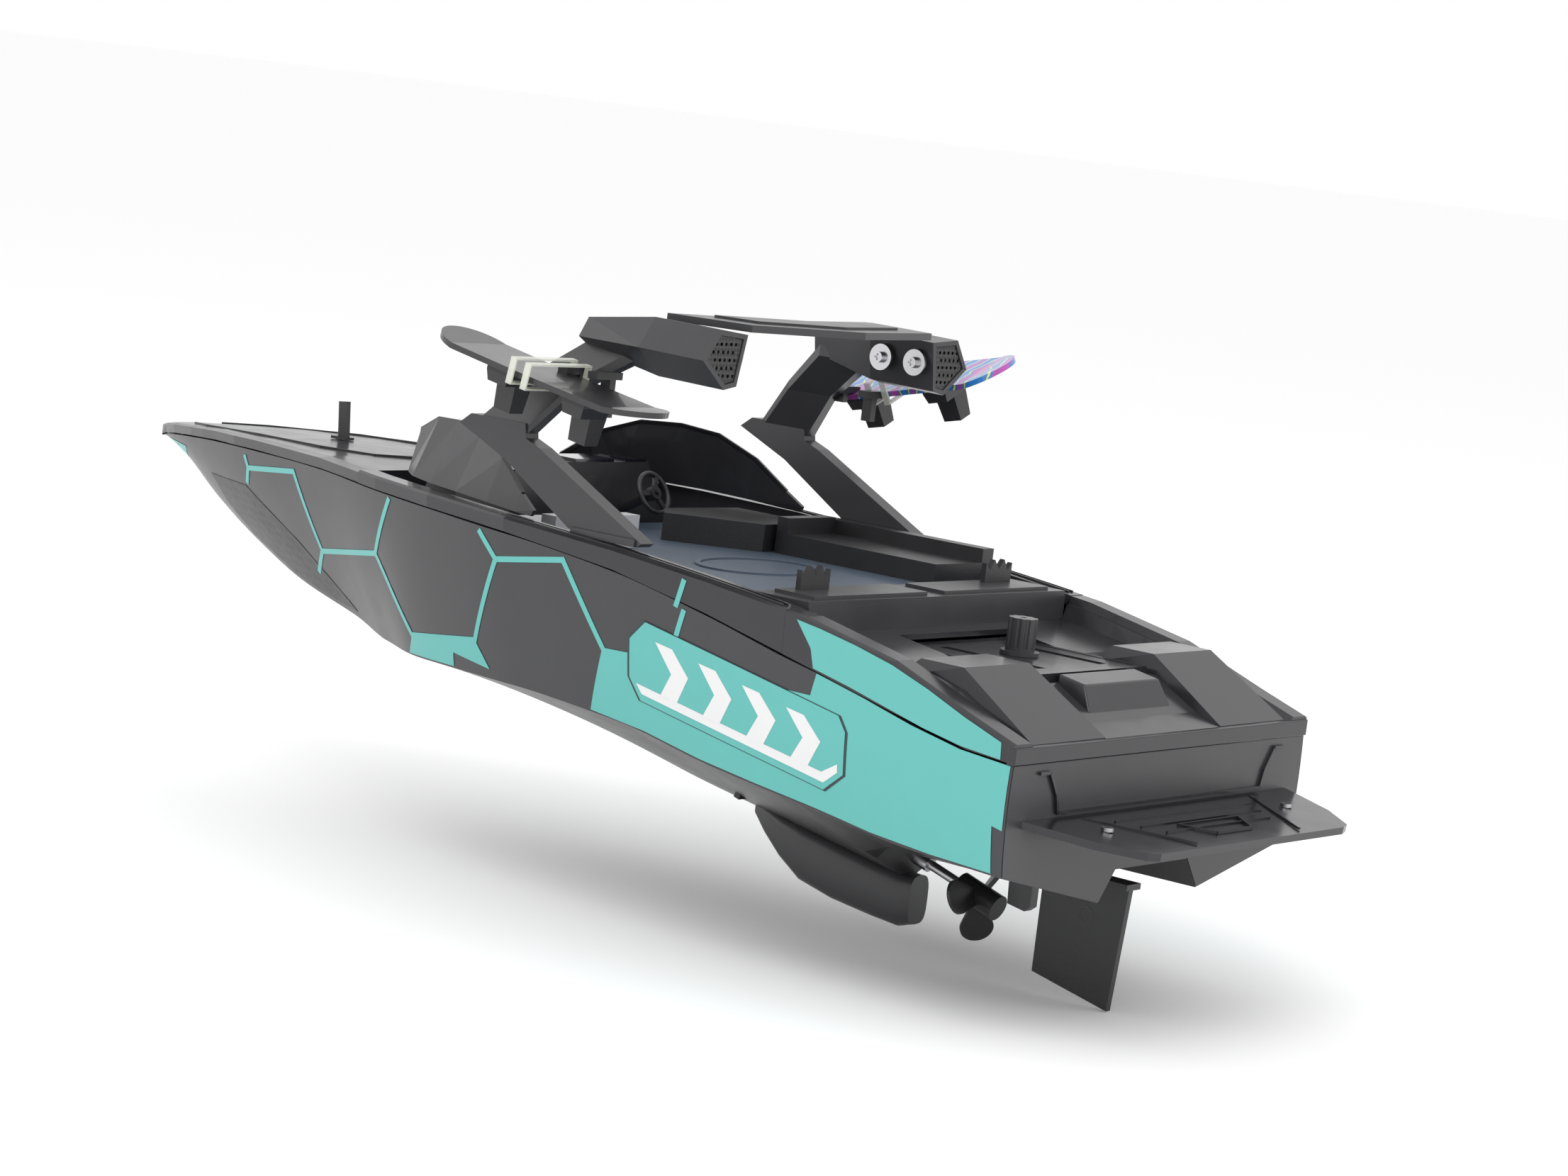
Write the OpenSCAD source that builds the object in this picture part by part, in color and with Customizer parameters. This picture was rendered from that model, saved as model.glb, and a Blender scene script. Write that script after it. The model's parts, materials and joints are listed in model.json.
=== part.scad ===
// Radio controlled wake boat, as separate moulded and bought-in pieces.
// X runs toward the bow, Y to port, Z up. Millimetres.

/* [Hull] */
// Beam over the gunwales
beam = 214; // [190:1:240]
// Wall thickness of the hull moulding
hull_wall = 2.4; // [1.6:0.1:3.5]
// Wall thickness of the deck moulding
deck_wall = 2.2; // [1.6:0.1:3.5]
// Width of the side deck beside the cockpit
side_deck_w = 11; // [8:0.5:16]
// Height of the cockpit floor
floor_z = 146; // [140:1:149]

/* [Drive] */
// Shaft slope below the horizontal, degrees
shaft_slope = 16.7; // [10:0.1:20]
// Propeller shaft diameter
shaft_d = 4; // [3:0.5:5]
// Propeller diameter over the blade tips
prop_d = 48; // [36:1:50]
// Propeller hub diameter
prop_hub_d = 11; // [9:0.5:13]
// Number of propeller blades
prop_blades = 3; // [2:1:4]
// Radial running clearance of turning parts
run_gap = 0.06; // [0.02:0.01:0.1]

/* [Steering] */
// X position of the rudder stock
stock_x = -236; // [-240:1:-232]
// Rudder stock diameter
stock_d = 5; // [4:0.5:7]
// Length of the tiller and the servo arm
arm_len = 14; // [10:1:16]
// Distance between rudder stock and servo axis
link_len = 44; // [40:1:50]

/* [Tower] */
// Height of the top of the tower roof
roof_z = 250; // [235:1:262]
// Half width over the tower legs
leg_y = 103; // [98:1:106]
// Thickness of a tower leg
leg_t = 8; // [5:0.5:11]
// Wakeboard length
board_len = 116; // [100:1:130]
// Wakeboard width
board_w = 33; // [26:1:38]

/* [Hatch] */
// Length of the aft hatch along the boat
hatch_len = 60; // [50:1:66]
// Width of the aft hatch
hatch_w = 70; // [60:1:76]
// Knob diameter
knob_d = 12; // [10:0.5:14]

/* [Platform] */
// Width of the swim platform
platform_w = 176; // [160:1:190]
// Depth of the swim platform behind the transom
platform_len = 45; // [36:1:50]

/* [Hidden] */
$fn = 48;

charcoal = [0.23, 0.23, 0.24];
dark = [0.16, 0.16, 0.17];
steel = [0.72, 0.73, 0.75];
hb = beam / 2;
x_transom = -264;
x_pocket = -150;
x_cockpit_aft = -150;
x_cockpit_fwd = 104;

// Station curves: [x, value]. Half widths are fractions of half the beam.
deck_y = [[-264, 1], [-205, 0.99], [-160, 0.982], [-110, 0.978], [-60, 0.98], [0, 0.972],
    [50, 0.905], [90, 0.81], [130, 0.69], [165, 0.58], [220, 0.415], [265, 0.25], [290, 0.14],
    [303, 0.07], [309, 0.035]];
deck_z = [[-264, 115], [-242, 122.5], [-205, 136], [-160, 145], [-110, 150.5], [-60, 155],
    [0, 158.5], [50, 160.5], [90, 161.5], [140, 163], [200, 162], [240, 160.5], [268, 158.5],
    [290, 156.5], [303, 154.8], [309, 153.4]];
flange_h = [[-264, 7], [-242, 13], [-205, 19], [-160, 18], [-110, 12.5], [-57, 7.5], [0, 5.5],
    [309, 4]];
chine_y = [[-264, 0.98], [-215, 0.945], [-175, 0.92], [-114, 0.9], [-63, 0.88], [0, 0.83],
    [39, 0.757], [74, 0.655], [103, 0.505], [138, 0.355], [185, 0.235], [226, 0.15], [262, 0.085],
    [290, 0.05], [309, 0.025]];
chine_z = [[-264, 65], [-215, 66.5], [-175, 71], [-114, 78], [-63, 86], [0, 89], [39, 88.5],
    [74, 87.5], [103, 87.5], [138, 92], [185, 99.5], [226, 112], [262, 127], [290, 143], [309, 150.4]];
keel_z = [[-148, 31], [-80, 43], [-33, 51], [10, 60], [50, 68], [90, 74], [130, 78.5], [148, 80.5],
    [172, 85], [210, 95], [241, 109], [263, 122], [290, 140], [309, 149]];
aft_deck_z = [[-264, 113.6], [-250, 118], [-228, 129], [-190, 131], [-150, 137]];
tunnel_z = 62;
tip_z = 49.5;
tip_f = 0.34;
crown_f = 0.25;
seam_gap = 0.2;

function gy(x) = hb * lookup(x, deck_y);
function gz(x) = lookup(x, deck_z);
function sz(x) = gz(x) - lookup(x, flange_h);
function sy(x) = gy(x) - 0.8 * min(1, gy(x) / 20);
function cy(x) = hb * lookup(x, chine_y);
function cz(x) = lookup(x, chine_z);
function wall(x, t) = min(t, 0.35 * gy(x), 0.3 * (sz(x) - kz(x)));
function kz(x) = lookup(x, keel_z);
function vz(x, f) = kz(x) + (cz(x) - kz(x)) * f;
function bottom(x) = x < x_pocket ? [tip_z, tunnel_z, tunnel_z]
    : [vz(x, tip_f), vz(x, crown_f), kz(x)];

// Half section of the hull outside, from the seam down to the keel
function half_out(x) = let (b = bottom(x), ym = 0.55 * sy(x) + 0.45 * cy(x), zm = 0.5 * (sz(x) + cz(x)))
    [[sy(x), sz(x)], [ym + 1.2 * min(1, ym / 30), zm], [cy(x), cz(x)], [cy(x) * tip_f, b[0]],
     [cy(x) * crown_f, b[1]], [0, b[2]]];
function half_in(x) = let (b = bottom(x), t = wall(x, hull_wall), ym = 0.55 * sy(x) + 0.45 * cy(x),
        zm = 0.5 * (sz(x) + cz(x)), rise = x < x_pocket ? 1.6 * t : t)
    [[sy(x) - t, sz(x)], [ym + 1.2 * min(1, ym / 30) - t, zm],
     [max(cy(x) - 1.1 * t, 0.5 * cy(x)), cz(x) + 0.75 * t], [cy(x) * tip_f, b[0] + rise],
     [cy(x) * crown_f * 0.98, b[1] + t], [0, b[2] + t]];
// The other half, without repeating the point on the centreline
function mirror_y(p) = [for (i = [len(p) - 2 : -1 : 0]) [-p[i][0], p[i][1]]];
function backward(p) = [for (i = [len(p) - 1 : -1 : 0]) p[i]];
function ring3(x, p) = [for (q = p) [x, q[0], q[1]]];
function hull_ring(x) = let (o = half_out(x), i = half_in(x))
    ring3(x, concat(o, mirror_y(o), backward(concat(i, mirror_y(i)))));

hull_x = [-264, -242, -215, -190, -175, -160, -150, -114, -90, -63, -33, 0, 20, 39, 56, 74, 90, 103,
    120, 138, 160, 185, 205, 226, 244, 262, 276, 290, 303, 309];
deck_x_aft = [-264, -250, -242, -228, -215, -205, -190, -175, -160, -150];
deck_x_mid = [-149.9, -130, -110, -85, -60, -30, 0, 25, 50, 74, 90, 105];
deck_x_fwd = [104, 120, 140, 165, 185, 200, 220, 240, 254, 268, 280, 290, 303, 309];

// A ring is an outer line followed by its inner line backward, so an end closes with a strip
function cap_faces(m, at, front) = m % 2 == 1
    ? [for (j = [1 : m - 2]) front ? [at, at + j + 1, at + j] : [at, at + j, at + j + 1]]
    : [for (j = [0 : m / 2 - 2]) let (a = at + j, b = a + 1, c = at + m - 2 - j, d = c + 1)
        each (front ? [[a, c, b], [a, d, c]] : [[a, b, c], [a, c, d]])];
module loft(rings) {
    n = len(rings);
    m = len(rings[0]);
    pts = [for (r = rings) each r];
    sides = [for (i = [0 : n - 2]) for (j = [0 : m - 1]) let (k = (j + 1) % m)
        each [[i * m + j, i * m + k, (i + 1) * m + k], [i * m + j, (i + 1) * m + k, (i + 1) * m + j]]];
    polyhedron(pts, concat(sides, cap_faces(m, 0, true), cap_faces(m, (n - 1) * m, false)),
        convexity = 8);
}

// Frame of the propeller shaft: local X runs aft and down along it
shaft_at = [-158, 0, 40];
module on_shaft(s) {
    translate(shaft_at) rotate([0, 180 - shaft_slope, 0]) translate([s, 0, 0]) children();
}
module rod(d, l) { rotate([0, 90, 0]) cylinder(d = d, h = l); }
module box(a, b) { translate(a) cube([b[0] - a[0], b[1] - a[1], b[2] - a[2]]); }
module port_and_starboard() { children(); mirror([0, 1, 0]) children(); }
// Flat plate standing along the boat: outline in X and Z, thickness in Y
module side_plate(outline, y0, t) {
    translate([0, y0, 0]) rotate([90, 0, 0]) translate([0, 0, -t]) linear_extrude(t) polygon(outline);
}

tube_d = 7;
skeg_w = 9;
boss_d = 17;
skeg_outline = [[-70, 46], [-86, 29], [-96, 18.5], [-152, 11.5], [-156, 15], [-156, 33], [-146, 40]];
stock_hole_z = 55;
bush_d = 9;

module hull_shell() color(charcoal) difference() {
    union() {
        loft([for (x = hull_x) hull_ring(x)]);
        // Transom plate
        translate([x_transom + 0.1, 0, 0]) rotate([90, 0, 90]) linear_extrude(hull_wall)
            polygon(0.5 * concat(half_out(x_transom), mirror_y(half_out(x_transom)))
                + 0.5 * concat(half_in(x_transom), mirror_y(half_in(x_transom))));
        // Pad that carries the rudder bush inside
        translate([stock_x, 0, tunnel_z + 0.5]) cylinder(d = bush_d + 6, h = 6);
    }
    on_shaft(-60) rod(tube_d, 80);
    translate([stock_x, 0, stock_hole_z]) cylinder(d = bush_d, h = 20);
}

// Fairing under the keel that carries the stern tube
module skeg_housing() color(charcoal) difference() {
    union() {
        side_plate(skeg_outline, -skeg_w / 2, skeg_w);
        on_shaft(-34) rod(boss_d, 34);
    }
    on_shaft(-60) rod(tube_d, 80);
}

function fwd_ring(x) = let (t = wall(x, deck_wall), y = gy(x), z = gz(x), s = sz(x) + seam_gap)
    ring3(x, [[y - 0.6 * t, s], [y, z], [0.9 * y, z + 0.7], [0, z + 1.2], [-0.9 * y, z + 0.7], [-y, z],
     [-y + 0.6 * t, s], [-y + 1.5 * t, s], [-y + 1.2 * t, z - t], [-0.8 * y, z + 0.5 - t],
     [0, z + 1.2 - t], [0.8 * y, z + 0.5 - t], [y - 1.2 * t, z - t], [y - 1.5 * t, s]]);
function mid_ring(x) = let (t = deck_wall, y = gy(x) - 0.05, z = gz(x), s = sz(x) + seam_gap + 0.05,
        w = side_deck_w)
    ring3(x, [[y - 0.8, s], [y, z], [y - 1.5, z + 0.9], [y - w, z + 0.9], [y - w - 1, floor_z - 3],
     [y - w + t - 1, floor_z - 3], [y - w + t, z - t], [y - t - 2, z - t + 0.3], [y - t, z - t],
     [y - t - 0.6, s]]);
function aft_ring(x) = let (t = deck_wall, y = gy(x), z = gz(x), s = sz(x) + seam_gap,
        zi = lookup(x, aft_deck_z), w = side_deck_w)
    ring3(x, [[y - 0.8, s], [y, z], [y - 1.5, z + 0.7], [y - w, z + 0.7], [y - w - 3, zi], [-y + w + 3, zi],
     [-y + w, z + 0.7], [-y + 1.5, z + 0.7], [-y, z], [-y + 0.8, s], [-y + t + 0.6, s], [-y + t, z - t],
     [-y + t + 2, z - t + 0.3], [-y + w + 2, z - t - 0.6], [-y + w + 5, zi - t], [y - w - 5, zi - t],
     [y - w - 2, z - t - 0.6], [y - t - 2, z - t + 0.3], [y - t, z - t], [y - t - 0.6, s]]);

hatch_x0 = -222;
hatch_gap = 0.6;
module bolster(y0, y1, top) {
    hull() {
        box([-262, y0, 112], [-260, y1, 114.5]);
        box([-225, y0 + 3, 126], [-205, y1 - 3, top]);
        box([-202, y0, 126], [-198, y1, 130.5]);
    }
}
module aft_deck() color(charcoal) difference() {
    loft([for (x = deck_x_aft) backward(aft_ring(x))]);
    box([hatch_x0 - 4.1, -hatch_w / 2 - 4.1, 110], [hatch_x0 + hatch_len + 4.1, hatch_w / 2 + 4.1, 140]);
}
module deck_shell() color(charcoal) difference() {
    union() {
        port_and_starboard() loft([for (x = deck_x_mid) backward(mid_ring(x))]);
        loft([for (x = deck_x_fwd) backward(fwd_ring(x))]);
        // Bulkhead that closes the front of the cockpit
        translate([x_cockpit_fwd, 0, 0]) rotate([90, 0, 90]) linear_extrude(deck_wall)
            polygon([[-74, floor_z - 3], [74, floor_z - 3], [80, gz(x_cockpit_fwd)],
                     [-80, gz(x_cockpit_fwd)]]);
    }
    translate([195, 0, 140]) cylinder(d = 3, h = 30);
}
// Frame around the hatch opening, with the step the hatch sits on
module hatch_rim() color(charcoal) difference() {
    box([hatch_x0 - 4, -hatch_w / 2 - 4, 124], [hatch_x0 + hatch_len + 4, hatch_w / 2 + 4, 132.4]);
    box([hatch_x0 + 3, -hatch_w / 2 + 3, 110], [hatch_x0 + hatch_len - 3, hatch_w / 2 - 3, 140]);
    box([hatch_x0 - hatch_gap, -hatch_w / 2 - hatch_gap, seal_z],
        [hatch_x0 + hatch_len + hatch_gap, hatch_w / 2 + hatch_gap, 140]);
}
module stern_pad_port() color(charcoal) bolster(42, 92, 137);
module stern_pad_starboard() color(charcoal) mirror([0, 1, 0]) bolster(42, 92, 137);

knob_at = [-190, 0];
knob_pin_d = 4;
seal_z = 128.4;
seal_t = 1.2;
module hatch_seal() color([0.1, 0.1, 0.1]) difference() {
    box([hatch_x0 + 0.4, -hatch_w / 2 + 0.4, seal_z + 0.05],
        [hatch_x0 + hatch_len - 0.4, hatch_w / 2 - 0.4, seal_z + seal_t]);
    box([hatch_x0 + 3, -hatch_w / 2 + 3, seal_z - 1],
        [hatch_x0 + hatch_len - 3, hatch_w / 2 - 3, seal_z + seal_t + 1]);
}
hatch_z = seal_z + seal_t;
hatch_t = 2.6;
module aft_hatch() color(charcoal) difference() {
    box([hatch_x0, -hatch_w / 2, hatch_z], [hatch_x0 + hatch_len, hatch_w / 2, hatch_z + hatch_t]);
    translate([knob_at[0], knob_at[1], hatch_z - 1])
        cylinder(d = knob_pin_d + 2 * run_gap, h = hatch_t + 2);
    for (s = [-1, 1]) box([hatch_x0 + 6, s * 22 - 3, hatch_z + hatch_t - 0.6],
        [hatch_x0 + hatch_len - 6, s * 22 + 3, hatch_z + hatch_t + 1]);
}
knob_h = 15;
knob_flutes = 10;
module hatch_knob() color(charcoal) translate([knob_at[0], knob_at[1], hatch_z + hatch_t + 0.1]) {
    cylinder(d = knob_d + 4, h = 1.6);
    difference() {
        cylinder(d = knob_d, h = knob_h);
        for (i = [0 : knob_flutes - 1]) rotate(i * 360 / knob_flutes)
            translate([knob_d / 2 + 0.4, 0, 3]) cylinder(d = 2.2, h = knob_h, $fn = 16);
        translate([0, 0, knob_h - 3]) cylinder(d = 2.6, h = 4);
    }
    translate([0, 0, -hatch_t - 2.4]) cylinder(d = knob_pin_d, h = hatch_t + 2.5);
    // Latch tongue under the hatch, lying along the boat when unlocked
    translate([-12, -2.5, -hatch_t - 4.4]) cube([24, 5, 2.1]);
}

floor_t = 2;
module cockpit_floor() color([0.31, 0.36, 0.42]) {
    linear_extrude_at(floor_z - floor_t, floor_t) polygon(concat(
        [for (x = [-147.6, -110, -60, 0, 50, 90, 103.6]) [x, gy(x) - side_deck_w - 2.6]],
        [for (x = [103.6, 90, 50, 0, -60, -110, -147.6]) [x, -gy(x) + side_deck_w + 2.6]]));
    // Oval moulded ring on the floor
    translate([-58, 6, floor_z - 0.01]) difference() {
        scale([1, 1.5, 1]) cylinder(d = 44, h = 0.8);
        translate([0, 0, -1]) scale([1, 1.5, 1]) cylinder(d = 40, h = 3);
    }
}
module linear_extrude_at(z, h) { translate([0, 0, z]) linear_extrude(h) children(); }

seat_z = floor_z + 0.05;
module starboard_bench() color(dark) {
    box([-112, -91, seat_z], [-26, -46, seat_z + 9]);
    box([-112, -88, seat_z + 8.9], [-26, -80, seat_z + 15]);
    translate([-26, -46, seat_z + 8]) rotate([0, -90, 0]) rotate([0, 0, 180])
        linear_extrude(6) polygon([[-8, 0], [8, 0], [8, 34], [-8, 34]]);
}
module port_seat() color([0.74, 0.74, 0.75]) {
    box([-6, 24, seat_z], [34, 78, seat_z + 8]);
    box([-6, 24, seat_z + 7.9], [2, 78, seat_z + 14]);
}
module helm_seat() color(dark) {
    linear_extrude_at(seat_z, 12) polygon([[12, -14], [-24, -40], [-22, -78], [22, -78], [24, -30]]);
}
module rear_bench() color(charcoal) {
    box([x_cockpit_aft + 0.1, -90, floor_z - 10], [x_cockpit_aft + deck_wall, 90, seat_z + 1]);
    box([-149.4, -90, seat_z], [-122, 90, seat_z + 3]);
    for (s = [-1, 1]) box([-146, s * 44 - 38, seat_z + 2.9], [-126, s * 44 + 38, seat_z + 4.4]);
}
wheel_at = [40, -40, 162];
wheel_tilt = 62;
module on_wheel(s) { translate(wheel_at) rotate([0, -wheel_tilt, 0]) translate([0, 0, s]) children(); }
module helm_console() color(dark) difference() {
    union() {
        hull() {
            box([56, -72, seat_z], [92, 6, seat_z + 1]);
            box([60, -58, 172], [82, 2, 173]);
        }
        hull() {
            box([70, 20, seat_z], [92, 58, seat_z + 1]);
            box([74, 24, 167], [88, 52, 168]);
        }
    }
    on_wheel(-40) cylinder(d = column_d, h = 44);
}
module dash_screen() color([0.05, 0.05, 0.07]) {
    box([60, -34, 173.05], [76, -8, 174.4]);
    box([60, -56, 173.05], [76, -42, 174.4]);
}
column_d = 5;
wheel_pin_d = 2.5;
wheel_d = 21;
module steering_column() color(dark) on_wheel(-30) {
    cylinder(d = column_d, h = 27);
    cylinder(d = wheel_pin_d, h = 33);
}
module steering_wheel() color([0.08, 0.08, 0.09]) on_wheel(0) difference() {
    union() {
        rotate_extrude($fn = 60) translate([wheel_d / 2 - 1.2, 0]) circle(d = 2.4, $fn = 20);
        translate([0, 0, -2]) cylinder(d = 6.5, h = 3.6);
        for (a = [90, 210, 330]) rotate(a) box([2, -1.1, -0.8], [wheel_d / 2 - 1.2, 1.1, 0.8]);
    }
    translate([0, 0, -3]) cylinder(d = wheel_pin_d + 2 * run_gap, h = 8);
}
rest_outline = [[0, 0], [19, 0], [19, 8], [16, 5], [13, 9.5], [9.5, 5.5], [6, 9.5], [3, 5], [0, 8]];
module rest_plate(side) {
    translate([-132, side * 64 - 9.5, seat_z + 4.45]) rotate([90, 0, 90]) linear_extrude(2.4)
        polygon(rest_outline);
}
module port_rest_plate() color(dark) rest_plate(1);
module starboard_rest_plate() color(dark) rest_plate(-1);
module bow_post() color(dark) {
    translate([195, 0, 155]) cylinder(d = 3, h = 9);
    translate([193, 0, 164]) rotate([0, 6, 0]) linear_extrude(17) polygon([[-2, -1.2], [3, -1.2],
        [4.4, 0], [3, 1.2], [-2, 1.2]]);
    translate([190, -3, 163.5]) cube([9, 6, 1.2]);
}

// Windshield wing: base line on the side deck and a curved top edge, [x, y, z]
shield = [[[104, 44, 163.6], [101, 46, 171]], [[96, 60, 163.6], [91, 60, 183]],
    [[84, 70, 163.4], [74, 68, 190]], [[66, 78, 163], [56, 75, 191.5]],
    [[46, 84, 162.6], [38, 80, 189]], [[24, 88.5, 161.6], [20, 86, 180.5]],
    [[6, 91, 160.4], [4, 90, 168.5]], [[-4, 92, 160], [-5, 91.8, 162.5]]];
shield_t = 2;
module shield_wing() {
    loft([for (s = shield) let (b = s[0], t = s[1])
        [b, t, [t[0], t[1] - shield_t, t[2]], [b[0], b[1] - shield_t, b[2]]]]);
}
module port_windshield() color(dark) shield_wing();
module starboard_windshield() color(dark) mirror([0, 1, 0]) shield_wing();

leg_outline = [[-67, 157.4], [-30, 159.2], [8, 182], [35, 193.5], [29, 198], [-1, 198], [-2, 192],
    [-10, 189], [-69, 159]];
module tower_leg() {
    y0 = leg_y - leg_t - 5;
    side_plate(leg_outline, y0, leg_t);
    // Upper arm sweeping aft and inboard to the speaker pod
    hull() {
        box([-2, y0 + 1, 194], [24, y0 + leg_t - 1, 197.5]);
        box([-18, y0 - 6, 214], [6, y0 - 1, 218]);
    }
    hull() {
        box([-18, y0 - 6, 214], [6, y0 - 1, 218]);
        box([-44, y0 - 18, 232], [-18, y0 - 11, 237]);
    }
    // Foot clamped on the side deck
    box([-66, y0 - 1, 157.2], [-32, y0 + leg_t + 1, 160.2]);
}
module tower_leg_port() color(charcoal) tower_leg();
module tower_leg_starboard() color(charcoal) mirror([0, 1, 0]) tower_leg();

roof_t = 3;
module tower_roof() color(charcoal) {
    linear_extrude_at(roof_z - roof_t, roof_t) polygon([[-46, 70], [-56, 0], [-46, -70], [-84, -62],
        [-95, 0], [-84, 62]]);
    linear_extrude_at(roof_z - 0.01, 1) polygon([[-56, 52], [-64, 0], [-56, -52], [-76, -48],
        [-85, 0], [-76, 48]]);
}
pod_face = [[64, 246], [68, 225], [76, 223.5], [91, 235], [82, 247.5]];
pod_nose = [[72, 243], [74, 233], [78, 231.5], [86, 236], [81, 244]];
module pod(side) {
    rings = [[for (p = pod_face) [-84, p[0], p[1]]], [for (p = pod_face) [-50, p[0], p[1] + 1]],
        [for (p = pod_nose) [-14, p[0], p[1]]]];
    difference() {
        mirror([0, side < 0 ? 1 : 0, 0]) loft(rings);
        mirror([0, side < 0 ? 1 : 0, 0]) {
            translate([-82, 0, 0]) rotate([90, 0, -90]) linear_extrude(4)
                offset(delta = -2) polygon([for (p = pod_face) [-p[0], p[1]]]);
            for (x = screw_x) translate([x, 60, 236.5]) rotate([-90, 0, 0]) cylinder(d = screw_d, h = 16);
        }
    }
}
screw_x = [-76, -58];
screw_d = 2.4;
washer_d = 11.4;
module pod_port() color(charcoal) pod(1);
module pod_starboard() color(charcoal) pod(-1);
module grille(side) {
    mirror([0, side < 0 ? 1 : 0, 0]) difference() {
        translate([-82.1, 0, 0]) rotate([90, 0, -90]) linear_extrude(1.4)
            offset(delta = -2.3) polygon([for (p = pod_face) [-p[0], p[1]]]);
        for (i = [0 : 4]) for (j = [0 : 4]) translate([-85, 70.5 + i * 3.1 + (j % 2) * 1.5, 229 + j * 3.2])
            rotate([0, 90, 0]) cylinder(d = 1.7, h = 6, $fn = 6);
    }
}
module grille_port() color(dark) grille(1);
module grille_starboard() color(dark) grille(-1);
module pod_washers_side(side) {
    mirror([0, side < 0 ? 1 : 0, 0]) for (x = screw_x) translate([x, 62.6, 236.5]) rotate([-90, 0, 0])
        difference() {
            cylinder(d = washer_d, h = 1.2);
            translate([0, 0, -1]) cylinder(d = screw_d + 0.6, h = 4);
        }
}
module pod_screws_side(side) {
    mirror([0, side < 0 ? 1 : 0, 0]) for (x = screw_x) translate([x, 60.4, 236.5]) rotate([-90, 0, 0])
        difference() {
            union() {
                cylinder(d = 4.8, h = 2.15);
                cylinder(d = screw_d - 0.1, h = 12);
            }
            for (a = [0, 90]) rotate(a) translate([-1.5, -0.4, -1]) cube([3, 0.8, 1.9]);
        }
}
module pod_washers() color(steel) for (side = [1, -1]) pod_washers_side(side);
module pod_screws() color(steel) for (side = [1, -1]) pod_screws_side(side);

// Wakeboards, port then starboard: middle, pitch about Y, and lean of the base toward the other side
board_at = [[-24, 111, 220.5], [-37, -110.3, 225]];
board_pitch = [-10, 12];
board_lean = [0, -22];
board_t = 2.4;
module on_board(i) {
    translate(board_at[i]) rotate([0, board_pitch[i], 0]) rotate([board_lean[i], 0, 0]) children();
}
module board(i) {
    on_board(i) intersection() {
        linear_extrude(8, center = true) hull() for (s = [-1, 1])
            translate([s * (board_len / 2 - board_w / 2), 0]) circle(d = board_w);
        rotate([90, 0, 0]) linear_extrude(board_w + 2, center = true) polygon([
            [-60, 3.4], [-42, 0.4], [0, 0], [42, 0.4], [60, 3.4], [60, 3.4 - board_t],
            [42, 0.4 - board_t], [0, -board_t], [-42, 0.4 - board_t], [-60, 3.4 - board_t]]);
    }
}
module wakeboard_port() color([0.35, 0.36, 0.4]) board(0);
module wakeboard_starboard() color([0.16, 0.45, 0.72]) board(1);
boot_h = 19;
module boots(i) {
    on_board(i) for (s = [-1, 1]) translate([s * 21, 0, -board_t - 0.05]) {
        hull() {
            box([-6, -9, -3], [6, 9, 0]);
            box([-5, -7, -boot_h * 0.4], [5, 8, -boot_h * 0.4 + 1]);
        }
        hull() {
            box([-5, -8, -boot_h * 0.4], [5, 2, -boot_h * 0.4 + 1]);
            box([-4.5, -7, -boot_h], [4.5, 1, -boot_h + 1]);
        }
    }
}
module bindings_port() color(dark) boots(0);
module bindings_starboard() color(dark) boots(1);
// Two forks that grip the inboard edge of a board at the height top
module rack(side, top) {
    mirror([0, side < 0 ? 1 : 0, 0]) for (dx = [-16, 0]) {
        box([-22 + dx, 84, top - 3], [-17 + dx, 100, top]);
        box([-22 + dx, 88, 212 + 0.4 * dx], [-17 + dx, 91.5, top]);
    }
}
module rack_port() color(dark) rack(1, 224);
module rack_starboard() color(dark) rack(-1, 219);
tie_w = 3;
module ties(i) {
    on_board(i) for (s = [-2, 6]) translate([s - tie_w / 2, 0, 0]) rotate([90, 0, 90])
        linear_extrude(tie_w) difference() {
            square([board_w + 4.6, 11], center = true);
            square([board_w + 3, 9.4], center = true);
        }
}
module board_ties() color([0.85, 0.88, 0.8, 0.5]) for (i = [0, 1]) ties(i);

platform_t = 3;
platform_slope = 6.5;
platform_screw_y = [-66, 66];
module swim_platform() color(dark) difference() {
    translate([x_transom - 0.1, 0, 83.2]) rotate([0, -platform_slope, 0]) union() {
        translate([-platform_len, 0, 0]) linear_extrude(platform_t) polygon([
            [platform_len, platform_w / 2 + 8], [18, platform_w / 2 - 2], [2, platform_w / 2 - 14],
            [0, platform_w / 2 - 20], [0, -platform_w / 2 + 20], [2, -platform_w / 2 + 14],
            [18, -platform_w / 2 + 2], [platform_len, -platform_w / 2 - 8]]);
        for (y = [-52, 0, 52]) box([-26, y - 2, -6], [-1, y + 2, 1]);
    }
    for (y = platform_screw_y) translate([-283, y, 70]) cylinder(d = 2.6, h = 20);
}
module platform_screws() color(steel) for (y = platform_screw_y) translate([-283, y, 78.6]) difference() {
    union() {
        translate([0, 0, 5.6]) cylinder(d = 4.8, h = 1.4);
        translate([0, 0, -2]) cylinder(d = 2.5, h = 8);
    }
    for (a = [0, 90]) rotate(a) translate([-1.5, -0.4, 6.2]) cube([3, 0.8, 1.9]);
}

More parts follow.
